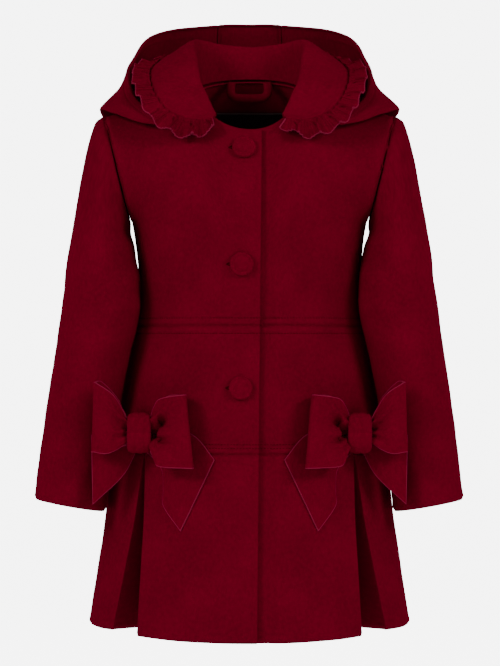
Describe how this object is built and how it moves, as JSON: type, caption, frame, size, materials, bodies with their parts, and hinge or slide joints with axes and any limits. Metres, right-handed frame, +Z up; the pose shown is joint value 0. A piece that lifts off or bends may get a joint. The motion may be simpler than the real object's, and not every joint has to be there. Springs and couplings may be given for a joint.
{
  "type": "hooded wool coat",
  "caption": "Child's hooded wool coat with a dropped waist, pleated skirt, round collar edged with a ruffle, covered buttons and a bow over each side pleat, shown filled out.",
  "frame": {"origin": "middle of the neck opening, at the height where the shoulders meet the neck", "axes": "+Z up, towards the hood; the front faces -Y; +X is the wearer's left"},
  "size_m": [0.4812, 0.3168, 0.7029],
  "materials": {
    "wool": "felted, matte",
    "label": "woven, dull satin"
  },
  "bodies": {
    "root": {"bodice_back": "wool", "bodice_front_left": "wool", "bodice_front_right": "wool", "midriff_back": "wool", "midriff_front_left": "wool", "midriff_front_right": "wool", "skirt_back": "wool", "skirt_front_left": "wool", "skirt_front_right": "wool", "skirt_side_left": "wool", "skirt_side_right": "wool", "sleeve_left": "wool", "sleeve_right": "wool", "collar": "wool", "ruffle": "wool", "hood_centre": "wool", "hood_side_left": "wool", "hood_side_right": "wool", "neck_label": "label", "hanging_loop": "wool", "button_top": "wool", "button_middle": "wool", "button_bottom": "wool", "bow_left_outer_loop": "wool", "bow_left_inner_loop": "wool", "bow_left_outer_tail": "wool", "bow_left_inner_tail": "wool", "bow_left_knot": "wool", "bow_right_outer_loop": "wool", "bow_right_inner_loop": "wool", "bow_right_outer_tail": "wool", "bow_right_inner_tail": "wool", "bow_right_knot": "wool"}
  },
  "joints": []
}
